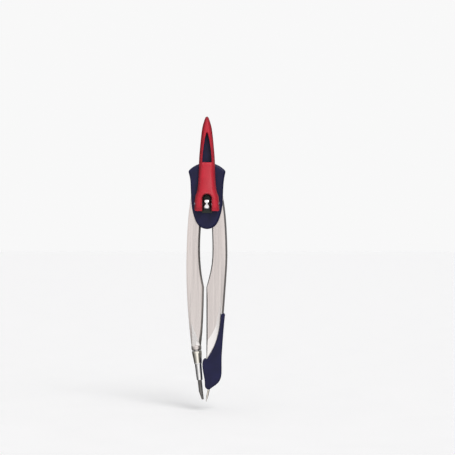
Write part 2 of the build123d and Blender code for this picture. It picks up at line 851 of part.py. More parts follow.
with BuildPart() as needle_leg:
    add(
        leg_blade(
            needle_leg_runs(0, 0),
            needle_leg_runs(strip_width, needle_inner_strip * inner_at_band),
            needle_leg_face_runs(),
            needle_leg_runs(back_bevel, back_bevel),
        )
    )
    add(knuckle(pitch_radius, needle_teeth))
    add(tongue())
    with BuildSketch(layer(-leg_half)):
        with Locations((pitch_radius, pivot_z)):
            Circle(pivot_pin_radius + gap)
    extrude(amount=2 * leg_half, mode=Mode.SUBTRACT)
    with BuildSketch(layer(-leg_half)):
        with Locations((shoe_screw_x, shoe_screw_z)):
            Circle(shoe_screw_radius)
    extrude(amount=2 * leg_half, mode=Mode.SUBTRACT)
finish(needle_leg, "needle_leg")

# From the strip's top down the outer side, round the bottom and up to the tab beside the leg's tip.
shoe_side = [(8.62, 41.6), (7.9, 34.0), (7.35, 26.6), (7.0, 19.3), (7.0, 14.4), (6.3, 10.9), (4.5, 8.6)]
shoe_side += [(2.4, 7.1), (0.6, 6.15), (-0.4, 6.6), (-1.1, 9.5), (-1.85, 14.4), (-2.25, 18.2), (-1.8, 20.4)]
shoe_side += [(-0.9, 21.15)]
strip_top = (7.9, 42.75)


def shoe_outline(plane):
    with BuildSketch(plane) as face:
        with BuildLine():
            Spline(*shoe_mouth)
            Line(shoe_mouth[-1], shoe_side[-1])
            Spline(*reversed(shoe_side))
            ThreePointArc(shoe_side[0], strip_top, shoe_mouth[0])
        make_face()
    return face.sketch


with BuildPart() as needle_shoe:
    add(extrude(shoe_outline(layer(-shoe_half)), amount=2 * shoe_half, mode=Mode.PRIVATE))
    # The mouth's own edges stay sharp against the leg.
    long_edges = needle_shoe.faces().filter_by(Axis.Y).edges().filter_by(lambda e: e.length > 40)
    fillet(long_edges, shoe_edge_radius)
    add(tongue(), mode=Mode.SUBTRACT)
    add(needle_solid(needle_radius), mode=Mode.SUBTRACT)
    with BuildSketch(layer(-shoe_half)):
        with Locations((shoe_screw_x, shoe_screw_z)):
            Circle(shoe_screw_head_radius + gap)
    extrude(amount=shoe_screw_head_depth, mode=Mode.SUBTRACT)
    with BuildSketch(layer(-shoe_half)):
        with Locations((shoe_screw_x, shoe_screw_z)):
            Circle(shoe_screw_radius)
    extrude(amount=shoe_half + shoe_screw_tip, mode=Mode.SUBTRACT)
finish(needle_shoe, "needle_shoe")

with BuildPart() as shoe_screw:
    with BuildSketch(layer(-shoe_half + gap)):
        with Locations((shoe_screw_x, shoe_screw_z)):
            Circle(shoe_screw_head_radius)
    extrude(amount=shoe_screw_head_depth - gap)
    chamfer(shoe_screw.faces().sort_by(Axis.Y)[-1].edges(), shoe_screw_chamfer)
    with BuildSketch(layer(-shoe_half + shoe_screw_head_depth)):
        with Locations((shoe_screw_x, shoe_screw_z)):
            Circle(shoe_screw_radius)
    extrude(amount=shoe_half - shoe_screw_head_depth + shoe_screw_tip)
    with BuildSketch(layer(-shoe_half)):
        with Locations((shoe_screw_x, shoe_screw_z)):
            Rectangle(shoe_screw_cross, shoe_screw_cross_width)
            Rectangle(shoe_screw_cross_width, shoe_screw_cross)
    extrude(amount=shoe_screw_cross_depth, mode=Mode.SUBTRACT)
finish(shoe_screw, "shoe_screw")

with BuildPart() as needle:
    add(needle_solid(needle_point_radius))
finish(needle, "needle")
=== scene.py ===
import json
import math

import bmesh
import bpy
import numpy as np
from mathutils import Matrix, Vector, geometry


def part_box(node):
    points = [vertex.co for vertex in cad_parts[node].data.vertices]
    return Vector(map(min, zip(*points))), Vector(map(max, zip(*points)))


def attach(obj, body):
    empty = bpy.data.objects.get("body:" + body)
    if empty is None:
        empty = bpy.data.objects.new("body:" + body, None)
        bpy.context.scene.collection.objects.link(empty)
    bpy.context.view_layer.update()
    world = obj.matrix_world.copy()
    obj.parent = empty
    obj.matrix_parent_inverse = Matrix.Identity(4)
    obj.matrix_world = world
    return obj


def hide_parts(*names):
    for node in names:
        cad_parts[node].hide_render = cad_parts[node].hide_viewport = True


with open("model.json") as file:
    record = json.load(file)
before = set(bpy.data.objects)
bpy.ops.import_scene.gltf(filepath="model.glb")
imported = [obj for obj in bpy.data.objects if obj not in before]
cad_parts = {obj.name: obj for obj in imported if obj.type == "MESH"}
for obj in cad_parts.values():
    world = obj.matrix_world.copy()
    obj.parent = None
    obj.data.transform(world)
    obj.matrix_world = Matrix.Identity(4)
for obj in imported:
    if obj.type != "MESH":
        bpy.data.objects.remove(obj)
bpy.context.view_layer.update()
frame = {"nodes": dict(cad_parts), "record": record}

MM = 0.001


# ---------------------------------------------------------------- places that come from the frame


def box_middle(node):
    """The middle of a node's box, in millimetres."""
    low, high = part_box(node)
    return [(a + b) / 2 / MM for a, b in zip(low, high)]


LEGS_MIDDLE_Y = box_middle("left_pivot_pin")[1]
PIN_Y, PIN_Z = box_middle("lever_pin")[1:]


def forward(distance):
    """Y of a point this far in front of the legs' middle plane, in millimetres."""
    return LEGS_MIDDLE_Y - distance


# ---------------------------------------------------------------- node trees

NOISE_ROUGHNESS = 0.55


def linear(red, green, blue):
    """An sRGB colour in 0 to 255 as the renderer's linear colour."""
    channels = [value / 255 for value in (red, green, blue)]
    return [c / 12.92 if c <= 0.04045 else ((c + 0.055) / 1.055) ** 2.4 for c in channels] + [1.0]


class Tree:
    """Short ways to add nodes to one node tree."""

    def __init__(self, tree):
        self.tree = tree
        tree.nodes.clear()

    def node(self, kind, **settings):
        made = self.tree.nodes.new(kind)
        for key, value in settings.items():
            setattr(made, key, value)
        return made

    def link(self, source, target):
        self.tree.links.new(source, target)

    def math(self, operation, first, second):
        made = self.node("ShaderNodeMath", operation=operation)
        for socket, value in zip(made.inputs, (first, second)):
            if isinstance(value, (int, float)):
                socket.default_value = value
            else:
                self.link(value, socket)
        return made.outputs[0]

    def between(self, value, low, high, start=0.3, stop=0.7, interpolation="LINEAR"):
        """The value mapped so that start gives low and stop gives high."""
        made = self.node("ShaderNodeMapRange", interpolation_type=interpolation)
        for key, number in (("From Min", start), ("From Max", stop), ("To Min", low), ("To Max", high)):
            made.inputs[key].default_value = number
        self.link(value, made.inputs["Value"])
        return made.outputs[0]

    def step(self, value, start, stop, low=0.0, high=1.0):
        """A smooth step from low to high as the value goes from start to stop."""
        return self.between(value, low, high, start, stop, "SMOOTHSTEP")

    def blend(self, share, first, second):
        """The first number where share is 0 and the second where it is 1."""
        rest = self.math("SUBTRACT", 1.0, share)
        return self.math("ADD", self.math("MULTIPLY", first, rest), self.math("MULTIPLY", second, share))

    def mix(self, factor, first, second):
        """The first colour where factor is 0 and the second where it is 1."""
        made = self.node("ShaderNodeMix", data_type="RGBA")
        self.link(factor, made.inputs["Factor"])
        for socket, value in ((made.inputs[6], first), (made.inputs[7], second)):
            if isinstance(value, (list, tuple)):
                socket.default_value = value
            else:
                self.link(value, socket)
        return made.outputs[2]

    def choose(self, factor, first, second):
        """The first shader where factor is 0 and the second where it is 1."""
        made = self.node("ShaderNodeMixShader")
        for socket, value in zip(made.inputs, (factor, first, second)):
            self.link(value, socket)
        return made.outputs[0]

    def axis(self, vector, name):
        """The vector's part along X, Y or Z."""
        split = self.node("ShaderNodeSeparateXYZ")
        self.link(vector, split.inputs[0])
        return split.outputs[name]

    def towards(self, vector, side):
        """How far the vector reaches towards a horizontal direction."""
        made = self.node("ShaderNodeVectorMath", operation="DOT_PRODUCT")
        self.link(vector, made.inputs[0])
        made.inputs[1].default_value = (*side, 0)
        return made.outputs["Value"]


class Graph(Tree):
    """One material's node tree, around a Principled shader."""

    def __init__(self, name, metallic=0.0, specular=0.5, lean=0.0):
        self.material = bpy.data.materials.new(name)
        self.material.use_nodes = True
        super().__init__(self.material.node_tree)
        self.shader = self.node("ShaderNodeBsdfPrincipled")
        self.shader.inputs["Metallic"].default_value = metallic
        self.shader.inputs["Specular IOR Level"].default_value = specular
        self.output = self.node("ShaderNodeOutputMaterial")
        self.link(self.shader.outputs[0], self.output.inputs["Surface"])
        self.place = self.node("ShaderNodeTexCoord").outputs["Object"]
        if lean:
            turned = self.node("ShaderNodeVectorRotate", rotation_type="Y_AXIS")
            turned.inputs["Angle"].default_value = lean
            self.link(self.place, turned.inputs["Vector"])
            self.place = turned.outputs[0]

    def noise(self, grain_mm, detail=3.0, stretch=(1, 1, 1)):
        """Noise whose grains are about this large; stretch makes them longer along an axis."""
        mapping = self.node("ShaderNodeMapping")
        mapping.inputs["Scale"].default_value = [1 / MM / grain_mm / s for s in stretch]
        self.link(self.place, mapping.inputs["Vector"])
        made = self.node("ShaderNodeTexNoise")
        made.inputs["Scale"].default_value = 1.0
        made.inputs["Detail"].default_value = detail
        made.inputs["Roughness"].default_value = NOISE_ROUGHNESS
        self.link(mapping.outputs[0], made.inputs["Vector"])
        return made.outputs["Fac"]

    def edges(self, radius_mm, start=0.02, stop=0.25):
        """A mask that is 1 along sharp edges, and the normal that rounds them off."""
        bevel = self.node("ShaderNodeBevel", samples=4)
        bevel.inputs["Radius"].default_value = radius_mm * MM
        surface = self.node("ShaderNodeNewGeometry")
        dot = self.node("ShaderNodeVectorMath", operation="DOT_PRODUCT")
        self.link(bevel.outputs[0], dot.inputs[0])
        self.link(surface.outputs["Normal"], dot.inputs[1])
        turn = self.math("SUBTRACT", 1.0, dot.outputs["Value"])
        return self.between(turn, 0.0, 1.0, start, stop), bevel.outputs[0]

    def bump(self, height, depth_mm, normal=None):
        made = self.node("ShaderNodeBump")
        made.inputs["Distance"].default_value = depth_mm * MM
        self.link(height, made.inputs["Height"])
        if normal:
            self.link(normal, made.inputs["Normal"])
        return made.outputs[0]

    def finish(self, colour, roughness, normal):
        self.link(colour, self.shader.inputs["Base Color"])
        self.link(roughness, self.shader.inputs["Roughness"])
        self.link(normal, self.shader.inputs["Normal"])
        return self.material


# ---------------------------------------------------------------- materials

# The name of the lever mesh's own values for its painted shade, 0 to 1.
PAINTED_SHADE = "painted_shade"
PLASTIC_EDGE_MM = 0.22
# How much less rough a plastic edge is, where hands have polished it.
EDGE_POLISH = 0.08
METAL_EDGE_MM = 0.12
# How directly a face looks forwards or backwards, from the last front face to the first flank, which gets the
# painted shade.
FLANK_SHADE_FACING = (0.72, 0.58)
# The painted highlight goes on bevels that are a little less direct than a front face and look slightly down.
BEVEL_HIGHLIGHT_FACING = (0.86, 0.93)
BEVEL_HIGHLIGHT_DOWN = (-0.022, -0.05)
# The lead holder leans this much inwards.
HOLDER_LEAN = math.radians(5.8)
# The painted shade at the holder's joint, by height along the leaning holder: each end from clear to full.
JOINT_SHADE_TOP = (25.85, 25.6)
JOINT_SHADE_BOTTOM = (24.6, 25.05)
JOINT_SHADE = linear(112, 108, 104)


def moulded_plastic(name, colours, rough, specular, painted_shade=None):
    """Spark-eroded moulded plastic: fine grain, slow colour drift, edges polished by handling.

    colours are the deep, the light and the edge colour. The edge colour goes on sharp edges in patches:
    lighter on the navy and black, and darker on the red, where it is painted shade.
    The last argument is the colour of the painted shade, laid where the mesh's own shade value is 1.
    """
    deep, light, edge_colour = [linear(*colour) for colour in colours]
    graph = Graph(name, specular=specular)
    drift = graph.noise(5.0, detail=2)
    speck = graph.noise(0.5, detail=4)
    colour = graph.mix(graph.between(drift, 0, 1), deep, light)
    edge, rounded = graph.edges(PLASTIC_EDGE_MM)
    patchy = graph.between(speck, 0.15, 0.8)
    # Edge colour in patches: lighter on the navy and black, painted shade on the red.
    colour = graph.mix(graph.math("MULTIPLY", edge, patchy), colour, edge_colour)
    # Painted shade from the mesh's own values: the lever's slot walls and, faintly, its outer edges.
    if painted_shade:
        shade_paint = graph.node("ShaderNodeAttribute", attribute_name=PAINTED_SHADE)
        colour = graph.mix(shade_paint.outputs["Fac"], colour, painted_shade)
    roughness = graph.between(speck, rough - 0.05, rough + 0.07)
    roughness = graph.math("SUBTRACT", roughness, graph.math("MULTIPLY", edge, EDGE_POLISH))
    grain = graph.noise(0.16, detail=2)
    return graph.finish(colour, roughness, graph.bump(grain, 0.003, rounded))


def add_flank_shade_and_bevel_highlight(graph, colour, flank_shade, bevel_highlight):
    """The colour with painted shade on the flanks, and painted highlight on bevels that face forwards and
    down.
    """
    normal = graph.node("ShaderNodeTexCoord").outputs["Normal"]
    facing = graph.math("ABSOLUTE", graph.axis(normal, "Y"), 0)
    colour = graph.mix(graph.step(facing, *FLANK_SHADE_FACING), colour, flank_shade)
    downward = graph.step(graph.axis(normal, "Z"), *BEVEL_HIGHLIGHT_DOWN)
    return graph.mix(graph.math("MULTIPLY", downward, graph.step(facing, *BEVEL_HIGHLIGHT_FACING)), colour, bevel_highlight)


def add_joint_shade(graph, colour):
    """The colour with painted shade round the lead holder's joint."""
    height = graph.axis(graph.place, "Z")
    upper = graph.step(height, *[z * MM for z in JOINT_SHADE_TOP])
    lower = graph.step(height, *[z * MM for z in JOINT_SHADE_BOTTOM])
    return graph.mix(graph.math("MULTIPLY", upper, lower), colour, JOINT_SHADE)


def metal(
    name, colours, rough, grain_mm, grain_depth,
    stretch=(1, 1, 1), spread=0.06, lean=0.0, drift_mm=4.0, drift_stretch=(1, 1, 1),
    edge_turn=(0.02, 0.25), flank_shade=None, bevel_highlight=None, shade_paint=False,
):
    """Metal with a directional or even grain, slight tarnish and brighter edges.

    colours are the tarnished, the clean and the edge colour; the brighter edges are partly wear and partly
    painted highlight, which on the satin nickel's low edge turn runs along shallow creases.
    The flank colour is painted shade on faces that look sideways, and the bevel colour is painted highlight
    on bevels that look forwards and down.
    The joint flag lays painted shade on the joint of the lead holder's collar and its clamp nut.
    """
    dark, bright, edge_colour = [linear(*colour) for colour in colours]
    graph = Graph(name, metallic=1.0, lean=lean)
    drift = graph.noise(drift_mm, detail=4, stretch=drift_stretch)
    colour = graph.mix(graph.between(drift, 0, 1), dark, bright)
    # Painted shade on the flanks and painted highlight on the lower bevels.
    if flank_shade:
        colour = add_flank_shade_and_bevel_highlight(graph, colour, flank_shade, bevel_highlight)
    edge, rounded = graph.edges(METAL_EDGE_MM, *edge_turn)
    # Brighter edges: partly wear, partly painted highlight.
    colour = graph.mix(graph.math("MULTIPLY", edge, graph.between(drift, 0.3, 0.9)), colour, edge_colour)
    # Painted shade at the lead holder's joint.
    if shade_paint:
        colour = add_joint_shade(graph, colour)
    grain = graph.noise(grain_mm, detail=3, stretch=stretch)
    roughness = graph.between(grain, rough - spread, rough + spread)
    return graph.finish(colour, roughness, graph.bump(grain, grain_depth, rounded))


def graphite(name):
    """Polished lead with fine lines along it and grey dust."""
    graph = Graph(name, metallic=0.55)
    lines = graph.noise(0.1, detail=3, stretch=(1, 1, 14))
    dust = graph.noise(0.7, detail=4)
    colour = graph.mix(graph.between(lines, 0, 1), linear(58, 58, 58), linear(104, 103, 102))
    colour = graph.mix(graph.between(dust, 0, 0.5), colour, linear(132, 130, 128))
    roughness = graph.between(dust, 0.34, 0.5)
    return graph.finish(colour, roughness, graph.bump(lines, 0.004))


NAVY = moulded_plastic("navy_abs", ((15, 17, 51), (21, 23, 63), (52, 56, 98)), 0.42, 0.24)
# The red's edge colour is darker, which is painted shade on the lever's edges; the last colour is the painted
# shade in the slot and along the outer edges.
RED = moulded_plastic(
    "red_abs", ((176, 28, 46), (192, 36, 54), (120, 34, 48)), 0.36, 0.3, painted_shade=linear(30, 16, 18)
)
BLACK = moulded_plastic("black_nylon", ((26, 26, 28), (38, 38, 40), (70, 70, 72)), 0.5, 0.4)

NICKEL_COLOURS = ((204, 198, 196), (218, 212, 209), (236, 232, 229))
# The nickel's edge turn is so low that its edge colour paints a highlight along even shallow creases.
NICKEL_DRIFT_AND_HIGHLIGHT = {"drift_mm": 0.9, "edge_turn": (0.002, 0.03)}
# The legs: painted shade on the flanks, painted highlight on the lower bevels.
SATIN = metal(
    "satin_nickel", NICKEL_COLOURS, 0.25, 0.05, 0.002, stretch=(1, 1, 6), drift_stretch=(1, 1, 26),
    flank_shade=linear(184, 181, 179), bevel_highlight=linear(229, 227, 226), **NICKEL_DRIFT_AND_HIGHLIGHT,
)
CHROME = metal("chrome", ((222, 222, 224), (238, 238, 238), (246, 246, 246)), 0.09, 0.5, 0.0004, spread=0.03)
STEEL = metal(
    "turned_steel", ((206, 200, 190), (226, 221, 212), (240, 236, 230)), 0.14, 0.06, 0.0012,
    stretch=(20, 20, 1), lean=HOLDER_LEAN,
)
DARK_STEEL = metal("dark_steel", ((54, 58, 56), (66, 70, 68), (84, 86, 84)), 0.4, 0.12, 0.002)
# A darker copy of steel: painted shade for the slot the pin crosses.
SHADED_PIN_STEEL = metal("pin_steel_painted_shade", ((92, 88, 96), (112, 106, 114), (140, 134, 140)), 0.45, 0.1, 0.002)
# The collar and the clamp nut carry painted shade at their joint.
COLLAR_NICKEL = metal(
    "collar_nickel", NICKEL_COLOURS, 0.22, 0.05, 0.002, lean=HOLDER_LEAN, shade_paint=True, **NICKEL_DRIFT_AND_HIGHLIGHT
)
SLEEVE_CHROME = metal(
    "sleeve_chrome", ((222, 220, 210), (238, 235, 226), (246, 244, 236)), 0.09, 0.5, 0.0004,
    spread=0.03, lean=HOLDER_LEAN, shade_paint=True,
)
GRAPHITE = graphite("graphite")

FINISHES = {
    "navy_plastic": NAVY,
    "red_plastic": RED,
    "satin_metal": SATIN,
    "chrome": CHROME,
    "steel": STEEL,
    "dark_steel": DARK_STEEL,
    "black_nylon": BLACK,
    "graphite": GRAPHITE,
}
# Nodes with a look of their own within their slot: the lever pin is a darker copy of steel, painted shade for
# the slot it crosses, and the collar and clamp nut carry painted shade at their joint.
OWN_FINISHES = {"lever_pin": SHADED_PIN_STEEL, "leg_collar": COLLAR_NICKEL, "lead_clamp_nut": SLEEVE_CHROME}


# ---------------------------------------------------------------- outlines

# Points closer together than this count as one.
SAME_POINT = 1e-4


def smooth_line(points, step):
    """Points about a step apart along a smooth curve through the given points."""
    points = [np.array(p, float) for p in points]
    padded = [2 * points[0] - points[1]] + points + [2 * points[-1] - points[-2]]
    made = []
    for before, start, stop, after in zip(padded, padded[1:], padded[2:], padded[3:]):
        count = max(2, int(np.linalg.norm(stop - start) / step))
        slope = stop - before
        bend = 2 * before - 5 * start + 4 * stop - after
        twist = 3 * start - before - 3 * stop + after
        for t in np.arange(count) / count:
            made.append(0.5 * (2 * start + slope * t + bend * t**2 + twist * t**3))
    return made + [points[-1]]


def straight(points, step):
    """Points about a step apart along straight runs."""
    points = [np.array(p, float) for p in points]
    made = []
    for start, stop in zip(points, points[1:]):
        count = max(1, int(np.linalg.norm(stop - start) / step))
        made += [start + (stop - start) * k / count for k in range(count)]
    return made + [points[-1]]


def arc(centre, radius, first, last, step):
    """Points on a circle between two angles in degrees."""
    count = max(3, int(abs(math.radians(last - first)) * radius / step))
    angles = [math.radians(first + (last - first) * k / count) for k in range(count + 1)]
    return [np.array((centre[0] + radius * math.cos(a), centre[1] + radius * math.sin(a))) for a in angles]


def mirror(points):
    return [np.array((-p[0], p[1])) for p in reversed(points)]


def closed(*runs):
    """One closed loop from runs that follow each other."""
    loop = [p for run in runs for p in run]
    kept = [loop[0]]
    for point in loop[1:]:
        if np.linalg.norm(point - kept[-1]) > SAME_POINT:
            kept.append(point)
    if np.linalg.norm(kept[0] - kept[-1]) < SAME_POINT:
        kept.pop()
    return np.array(kept)


def anticlockwise(loop):
    x, z = loop[:, 0], loop[:, 1]
    area = (x * np.roll(z, -1) - np.roll(x, -1) * z).sum()
    return loop if area > 0 else loop[::-1]


def to_loop(points, loop):
    """Each point's distance to a closed loop."""
    start = loop[None, :, :]
    run = np.roll(loop, -1, axis=0)[None, :, :] - start
    offset = points[:, None, :] - start
    share = np.clip((offset * run).sum(2) / (run**2).sum(2), 0, 1)
    return np.sqrt(((offset - run * share[:, :, None]) ** 2).sum(2)).min(1)


def inside(points, loop):
    """Whether each point is inside a closed loop."""
    x, z = points[:, 0][:, None], points[:, 1][:, None]
    x0, z0 = loop[:, 0][None, :], loop[:, 1][None, :]
    x1, z1 = np.roll(loop[:, 0], -1)[None, :], np.roll(loop[:, 1], -1)[None, :]
    spans = (z0 > z) != (z1 > z)
    rise = np.where(z1 == z0, 1e-12, z1 - z0)
    return (spans & (x < (x1 - x0) * (z - z0) / rise + x0)).sum(1) % 2 == 1


def within(points, loops):
    """Whether each point is inside the first loop and outside the others, which are its holes."""
    solid = inside(points, loops[0])
    for loop in loops[1:]:
        solid &= ~inside(points, loop)
    return solid


def inset(loop, distance, sign):
    """The loop moved sideways; sign is 1 for an outer loop and -1 for a hole, both anticlockwise."""
    along = np.roll(loop, -1, axis=0) - np.roll(loop, 1, axis=0)
    along /= np.linalg.norm(along, axis=1)[:, None]
    return loop + sign * distance * np.stack([-along[:, 1], along[:, 0]], axis=1)


def ramp(value, start, stop, low, high):
    """A smooth step from low to high between two places."""
    share = np.clip((value - start) / (stop - start), 0, 1)
    share = share * share * (3 - 2 * share)
    return low + (high - low) * share


def smooth_profile(knots, place):
    """The height at each place of a smooth curve through the knots."""
    dense = np.array(smooth_line(knots, 0.3))
    return np.interp(place, dense[:, 0], dense[:, 1])


def edge_drop(distance, width, depth, roundness):
    """How far a surface falls towards its edge: part chamfer, part quarter round."""
    near = np.clip(1 - distance / width, 0, 1)
    return depth * ((1 - roundness) * near + roundness * (1 - np.sqrt(1 - near**2)))


# ---------------------------------------------------------------- mesh building

# A plate's rows of points are this share of its spacing apart, which makes near-equilateral triangles.
ROW_SHARE = 0.866
# The grid's points stay this share of the spacing clear of the innermost ring.
GRID_MARGIN = 0.4
# A ring's point counts only where the loop is still nearly its full distance away.
RING_SHARE = 0.98


def plate_points(loops, spacing, rings):
    """Points inside an outline and outside its holes: rings along the edges and a grid between them."""
    low, high = loops[0].min(0), loops[0].max(0)
    columns = np.arange(low[0], high[0], spacing)
    rows = np.arange(low[1], high[1], spacing * ROW_SHARE)
    grid = [(x + (k % 2) * spacing / 2, z) for k, z in enumerate(rows) for x in columns]
    groups = [np.array(grid)]
    least = [np.full(len(grid), max(rings) + spacing * GRID_MARGIN)]
    for number, loop in enumerate(loops):
        for distance in rings:
            groups.append(inset(loop, distance, 1 if number == 0 else -1))
            least.append(np.full(len(loop), distance * RING_SHARE - 1e-6))
    points = np.concatenate(groups)
    gaps = np.min([to_loop(points, loop) for loop in loops], axis=0)
    return points[within(points, loops) & (gaps > np.concatenate(least))]


def fill_outline(loops, points):
    """The corners of a flat sheet over the outline, and its triangles."""
    edges = []
    start = 0
    for loop in loops:
        count = len(loop)
        edges += [(start + k, start + (k + 1) % count) for k in range(count)]
        start += count
    corners = [Vector(p) for p in np.concatenate(loops + [points])]
    made = geometry.delaunay_2d_cdt(corners, edges, [], 0, 1e-5)
    flat = np.array([tuple(v) for v in made[0]])
    triangles = np.array([list(face) for face in made[2]])
    return flat, triangles[within(flat[triangles].mean(1), loops)]


def rim_faces(triangles, count):
    """Walls from the sheet's open edges to the same edges of a second sheet, count corners further on."""
    edges = dict.fromkeys(pair for a, b, c in triangles for pair in ((a, b), (b, c), (c, a)))
    return [(b, a, a + count, b + count) for a, b in edges if (b, a) not in edges]


def plate(name, loops, front, back, spacing, rings, material):
    """A closed body between two surfaces over a flat outline with holes.

    front and back take the points and their distances to the outline and to the holes, and give
    how far forward each point lies, in millimetres.
    """
    loops = [anticlockwise(loop) for loop in loops]
    flat, triangles = fill_outline(loops, plate_points(loops, spacing, rings))
    x, z = flat[:, 0], flat[:, 1]
    to_outer = to_loop(flat, loops[0])
    to_hole = np.min([to_loop(flat, loop) for loop in loops[1:]], axis=0)
    sheets = [np.stack([x, forward(side(x, z, to_outer, to_hole)), z], axis=1) for side in (front, back)]
    count = len(flat)
    faces = [tuple(t) for t in triangles] + [(a + count, c + count, b + count) for a, b, c in triangles]
    return mesh_piece(name, np.concatenate(sheets), faces + rim_faces(triangles, count), material)


def ring_faces(rings, across, wrap_across=True):
    """Quads between rings of equal point counts; the last ring joins the first."""
    faces = []
    for ring in range(rings):
        here, after = ring * across, (ring + 1) % rings * across
        for j in range(across if wrap_across else across - 1):
            beside = (j + 1) % across
            faces.append((here + j, here + beside, after + beside, after + j))
    return faces


def turned_body(profile, height, count=48):
    """Corners and faces of a body turned about a line that runs forwards at this height.

    profile gives radii and distances forwards.
    """
    corners = []
    for k in range(count):
        angle = 2 * math.pi * k / count
        corners += [(r * math.cos(angle), forward(d), height + r * math.sin(angle)) for r, d in profile]
    across = len(profile)
    faces = ring_faces(count, across, wrap_across=False)
    faces.append([k * across for k in range(count)])
    faces.append([k * across + across - 1 for k in reversed(range(count))])
    return corners, faces


def mesh_piece(name, corners, faces, material, smooth_angle=40):
    """An object from corners in millimetres, smooth except over sharp edges."""
    mesh = bpy.data.meshes.new(name)
    places = [tuple(float(v) * MM for v in corner) for corner in corners]
    mesh.from_pydata(places, [], [tuple(map(int, face)) for face in faces])
    mesh.validate()
    mesh.materials.append(material)
    piece = bpy.data.objects.new(name, mesh)
    bpy.context.scene.collection.objects.link(piece)
    work = bmesh.new()
    work.from_mesh(mesh)
    bmesh.ops.remove_doubles(work, verts=work.verts, dist=1e-7)
    bmesh.ops.recalc_face_normals(work, faces=work.faces)
    for face in work.faces:
        face.smooth = True
    for edge in work.edges:
        if len(edge.link_faces) == 2 and edge.calc_face_angle(0) > math.radians(smooth_angle):
            edge.smooth = False
    work.to_mesh(mesh)
    work.free()
    return piece


# ---------------------------------------------------------------- lock lever

LEVER_BOTTOM = 91.9
FOOT_HALF = 5.93
FOOT_CORNER = 0.9
# The lever's right side, from its tip down.
LEVER_SIDE = [(0.0, 137.2), (0.75, 136.75), (2.0, 132.9), (2.6, 129.4), (3.3, 122.6), (3.8, 115.9)]
LEVER_SIDE += [(4.0, 108.5), (4.4, 103.0), (4.85, 101.0), (5.55, 98.9), (5.9, 95.6), (FOOT_HALF, 92.9)]
SLOT_TOP = 99.4
SLOT_HALF = 1.62
# The centre of the slot's round top.
SLOT_MIDDLE = SLOT_TOP - SLOT_HALF
WINDOW_SILL = 115.2
WINDOW_HALF = 2.3
WINDOW_TIP_RADIUS = 0.3
WINDOW_TIP_Z = 129.2
WINDOW_SIDE = [(WINDOW_HALF, WINDOW_SILL), (2.05, 119.3), (1.62, 122.8), (1.05, 126.4)]
WINDOW_SIDE += [(WINDOW_TIP_RADIUS, WINDOW_TIP_Z)]
OUTLINE_STEP = 0.3
LEVER_SPACING = 0.34
# Distances from the edges of the rings of points that shape them.
LEVER_RINGS = (0.07, 0.16, 0.28, 0.42, 0.6)

# The front surface on the centreline, as heights and distances forwards, and how quickly it falls away
# to the sides.
LEVER_FRONT = [(91.9, 9.9), (93.2, 10.45), (94.6, 10.6), (97.4, 10.6), (101.8, 9.9), (108.0, 8.75)]
LEVER_FRONT += [(115.0, 7.7), (124.0, 6.7), (133.5, 5.9), (137.3, 5.5)]
LEVER_CROWN = 0.028
# The rounded edge changes from the first value on the body to the second on the rails beside the window.
BODY_TO_RAILS = (106.0, 117.0)
EDGE_WIDTHS = (2.4, 1.4)
EDGE_DEPTHS = (2.4, 2.6)
EDGE_ROUNDNESS = (1.0, 0.4)
# It is narrower and shallower by these amounts at the tip.
RAILS_TO_TIP = (131.0, 136.5)
TIP_WIDTH_LOSS = 0.3
TIP_DEPTH_LOSS = 1.1
# The foot's edge is only this share as deep down at its lower end, or it would reach the cam plate
# when the lever is open.
FOOT_EDGE_SHARE = 0.25
FOOT_EDGE_Z = 93.6
# The slot's own walls slope inwards, so they fall much further than the outer edge.
SLOT_WALL = 1.0
SLOT_DROP = 1.95
SLOT_ROUNDNESS = 0.1
# Where the slot's edge may be nearer than the outer edge.
SLOT_REACH_X = 3.0
SLOT_REACH_Z = SLOT_TOP + 1.5
# The width, depth and roundness of the window's edge at the front.
WINDOW_EDGE = (0.4, 0.4, 0.6)
# A soft ridge under the window, which bends down towards the sides and ends before the outer edge.
BROW_Z = 114.3
BROW_BEND = 0.07
BROW_WIDTH = 0.55
BROW_HEIGHT = 0.045
BROW_END = (0.6, 1.6)

# The back surface above the heel, as heights and distances forwards.
HEEL_TOP_Z = 97.01
LEVER_BACK = [(HEEL_TOP_Z, 5.11), (99.6, 5.22), (102.5, 5.35), (108.0, 5.3)]
LEVER_BACK += [(116.0, 4.9), (126.0, 4.3), (137.3, 3.95)]
HEEL_FORWARD = 7.34
HEEL_Z = 95.45
HEEL_RADIUS = 2.72
# The heel's circle ends here, and a slanted face runs on to the foot's lower edge.
HEEL_LOW_Z = 93.1
FOOT_BACK = 8.0
# The width, depth and roundness of all edges at the back.
BACK_EDGE = (0.35, 0.3, 0.8)

# The painted shade: full on this share of the slot's wall, and faint along the outer edges.
SLOT_SHADE_FULL = 0.55
EDGE_SHADE = 0.4
EDGE_SHADE_WIDTH = (0.2, 1.6)
EDGE_SHADE_BOTTOM = LEVER_BOTTOM + 0.6


def slot_distance(x, z):
    """Distance from the slot's wall, outside the slot."""
    above = np.hypot(x, z - SLOT_MIDDLE) - SLOT_HALF
    beside = np.abs(x) - SLOT_HALF
    return np.where(z > SLOT_MIDDLE, above, beside).clip(0)


